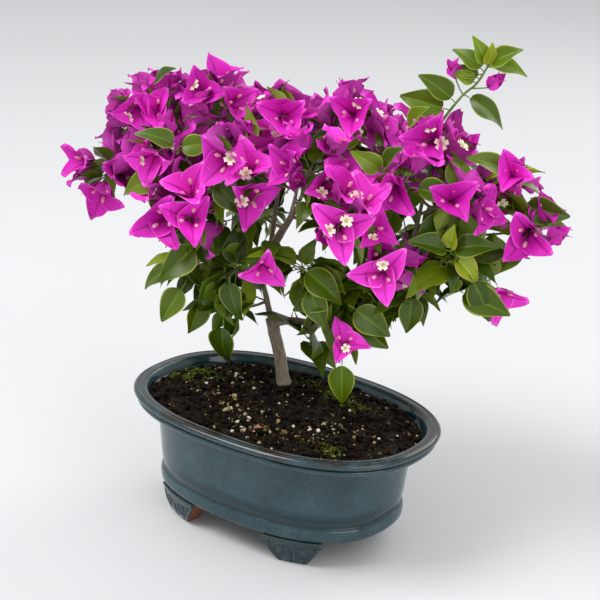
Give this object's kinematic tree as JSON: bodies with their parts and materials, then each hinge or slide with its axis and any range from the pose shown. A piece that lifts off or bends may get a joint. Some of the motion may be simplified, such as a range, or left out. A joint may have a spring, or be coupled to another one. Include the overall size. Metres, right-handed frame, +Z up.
{
  "type": "potted bougainvillea bonsai",
  "caption": "Small flowering bonsai with a leaning trunk and a broad crown of papery bracts, rooted in an oval glazed pot on scroll feet.",
  "frame": {"origin": "bottom centre of the whole object's box, on the surface that the pot's four feet stand on", "axes": "+Z up, +X along the pot's long side, -Y towards the pot's front"},
  "size_m": [0.3596, 0.2318, 0.3681],
  "materials": {
    "pot_glaze": "semi-gloss speckled blue-green glaze",
    "foot_glaze": "darker pooled glaze over brown clay",
    "soil": "matt moist potting soil with white grit",
    "bark": "matt fissured bark",
    "green_stem": "matt young green shoot",
    "blossom": "thin papery magenta bracts",
    "leaf": "soft-sheen green leaves"
  },
  "bodies": {
    "root": {"pot_body": "pot_glaze", "soil": "soil", "foot_back_right": "foot_glaze", "foot_back_left": "foot_glaze", "foot_front_left": "foot_glaze", "foot_front_right": "foot_glaze", "trunk": "bark", "leader": "bark", "bough_right": "bark", "bough_left": "bark", "bough_front": "bark", "bough_back": "bark", "bough_far_right": "bark", "shoot_stem": "green_stem", "blossom_left_end": "blossom", "blossom_left_top": "blossom", "blossom_peak": "blossom", "blossom_left_middle": "blossom", "blossom_left_lower": "blossom", "blossom_centre_left": "blossom", "blossom_centre_top": "blossom", "blossom_centre_top_right": "blossom", "blossom_centre_front": "blossom", "blossom_centre_low": "blossom", "blossom_right_top": "blossom", "blossom_right_centre": "blossom", "blossom_right_middle": "blossom", "blossom_right_upper_end": "blossom", "blossom_right_end": "blossom", "blossom_front_low": "blossom", "blossom_left_single": "blossom", "blossom_low_single": "blossom", "foliage_centre": "leaf", "foliage_centre_left": "leaf", "blossom_back_left_end": "blossom", "blossom_back_left": "blossom", "blossom_back_centre": "blossom", "blossom_back_right": "blossom", "blossom_back_right_end": "blossom", "foliage_right_lower": "leaf", "foliage_right_low": "leaf", "foliage_right": "leaf", "foliage_far_right": "leaf", "foliage_under_right": "leaf", "foliage_left": "leaf", "foliage_left_low": "leaf", "foliage_back_left": "leaf", "foliage_back_right": "leaf", "foliage_back_end": "leaf", "shoot_leaves_low": "leaf", "shoot_leaves_side": "leaf", "shoot_leaves_tip": "leaf"}
  },
  "joints": []
}
